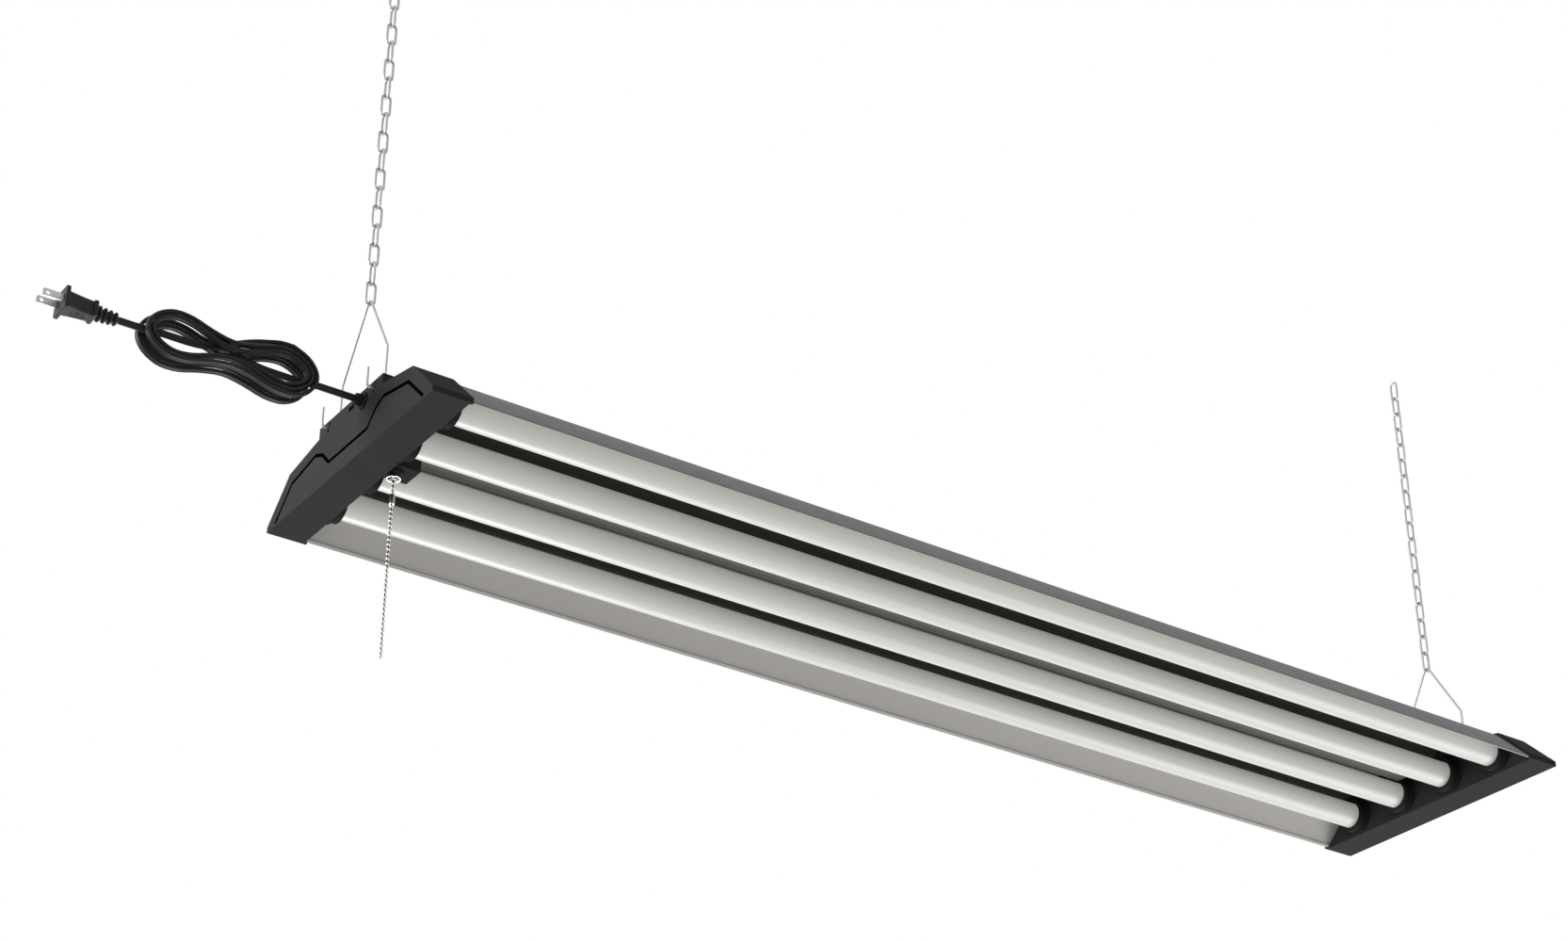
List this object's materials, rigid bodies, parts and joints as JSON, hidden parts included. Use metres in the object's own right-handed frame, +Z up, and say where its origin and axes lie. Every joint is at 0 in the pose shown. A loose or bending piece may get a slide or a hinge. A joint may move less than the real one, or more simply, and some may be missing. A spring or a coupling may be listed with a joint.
{
  "type": "hanging shop light",
  "caption": "Hanging fluorescent shop light with a folded metal reflector, moulded end caps, wire hangers on chains, a pull-chain switch and a tied hank of power cord with its plug.",
  "frame": {"origin": "midway between the two hook points, at the inside top of the chains' top links", "axes": "+Z up, +X along the light away from the cord, +Y towards the far long side"},
  "size_m": [1.5331, 0.2842, 0.6649],
  "materials": {
    "sheet": "satin grey-white enamel",
    "screw_steel": "zinc plated",
    "ballast_case": "satin",
    "wire_insulation": "satin",
    "cap_plastic": "fine satin grain",
    "holder_plastic": "satin",
    "contact_brass": "bright",
    "lamp_glass": "white phosphor-coated, glossy",
    "lamp_metal": "satin",
    "rotor_plastic": "satin",
    "bright_chrome": "polished",
    "cord_vinyl": "soft satin",
    "plug_vinyl": "soft satin",
    "blade_metal": "nickel plated",
    "wire_zinc": "bright zinc plated"
  },
  "bodies": {
    "hooks": {"top_link_left": "wire_zinc", "top_link_right": "wire_zinc"},
    "second_links": {"second_link_left": "wire_zinc", "second_link_right": "wire_zinc"},
    "left_arm": {"chain_left": "wire_zinc", "hanger_left": "wire_zinc"},
    "housing": {"housing_shell": "sheet", "ballast_cover": "sheet", "cover_screws": "screw_steel", "ballast": "ballast_case", "ballast_screws": "screw_steel", "lamp_wires": "wire_insulation", "end_cap_left": "cap_plastic", "end_cap_right": "cap_plastic", "end_cap_screws": "screw_steel", "lampholders_left": "holder_plastic", "lampholders_right": "holder_plastic", "contacts_left": "contact_brass", "contacts_right": "contact_brass", "switch_box": "holder_plastic", "pull_switch": "holder_plastic", "switch_nut": "holder_plastic", "switch_bell": "bright_chrome", "strain_relief": "holder_plastic", "cord_lead": "cord_vinyl", "cord_hank": "cord_vinyl", "cord_tail": "cord_vinyl", "plug_body": "plug_vinyl", "plug_blades": "blade_metal"},
    "right_arm": {"chain_right": "wire_zinc", "hanger_right": "wire_zinc"},
    "pull": {"switch_plunger": "bright_chrome"},
    "pull_chain": {"bead_chain": "bright_chrome", "chain_coupling": "bright_chrome"},
    "lamp_1": {"lamp_tube_1": "lamp_glass", "lamp_ends_1": "lamp_metal", "rotors_1": "rotor_plastic"},
    "lamp_2": {"lamp_tube_2": "lamp_glass", "lamp_ends_2": "lamp_metal", "rotors_2": "rotor_plastic"},
    "lamp_3": {"lamp_tube_3": "lamp_glass", "lamp_ends_3": "lamp_metal", "rotors_3": "rotor_plastic"},
    "lamp_4": {"lamp_tube_4": "lamp_glass", "lamp_ends_4": "lamp_metal", "rotors_4": "rotor_plastic"}
  },
  "joints": [
    {"name": "front_back_swing", "type": "hinge", "parent": "hooks", "child": "second_links", "pos_m": [0, 0, -0.01805], "axis": [1, 0, 0], "range_deg": [-25, 25]},
    {"name": "end_to_end_swing", "type": "hinge", "parent": "second_links", "child": "left_arm", "pos_m": [-0.6155, 0, -0.03725], "axis": [0, 1, 0], "range_deg": [-6, 6]},
    {"name": "housing_tilt", "type": "hinge", "parent": "left_arm", "child": "housing", "pos_m": [-0.6237, 0, -0.4506], "axis": [0, 1, 0], "range_deg": [-6, 6]},
    {"name": "right_hanger_tilt", "type": "hinge", "parent": "housing", "child": "right_arm", "pos_m": [0.6237, 0, -0.4506], "axis": [0, 1, 0], "range_deg": [-6, 6]},
    {"name": "lamp_1_turn", "type": "hinge", "parent": "housing", "child": "lamp_1", "pos_m": [0, -0.096, -0.4826], "axis": [1, 0, 0], "range_deg": [0, 90]},
    {"name": "lamp_2_turn", "type": "hinge", "parent": "housing", "child": "lamp_2", "pos_m": [0, -0.032, -0.4826], "axis": [1, 0, 0], "range_deg": [0, 90]},
    {"name": "lamp_3_turn", "type": "hinge", "parent": "housing", "child": "lamp_3", "pos_m": [0, 0.032, -0.4826], "axis": [1, 0, 0], "range_deg": [0, 90]},
    {"name": "lamp_4_turn", "type": "hinge", "parent": "housing", "child": "lamp_4", "pos_m": [0, 0.096, -0.4826], "axis": [1, 0, 0], "range_deg": [0, 90]},
    {"name": "pull_switch_travel", "type": "slide", "parent": "housing", "child": "pull", "axis": [0, 0, -1], "range_m": [0, 0.006], "stiffness_N_per_m": 300},
    {"name": "pull_chain_swing", "type": "hinge", "parent": "pull", "child": "pull_chain", "pos_m": [-0.582, 0, -0.50013], "axis": [0, 1, 0], "range_deg": [-20, 20]}
  ],
  "couplings": [
    {"joint": "housing_tilt", "follows": "end_to_end_swing", "ratio": -0.98685},
    {"joint": "right_hanger_tilt", "follows": "end_to_end_swing", "ratio": 0.98685}
  ]
}
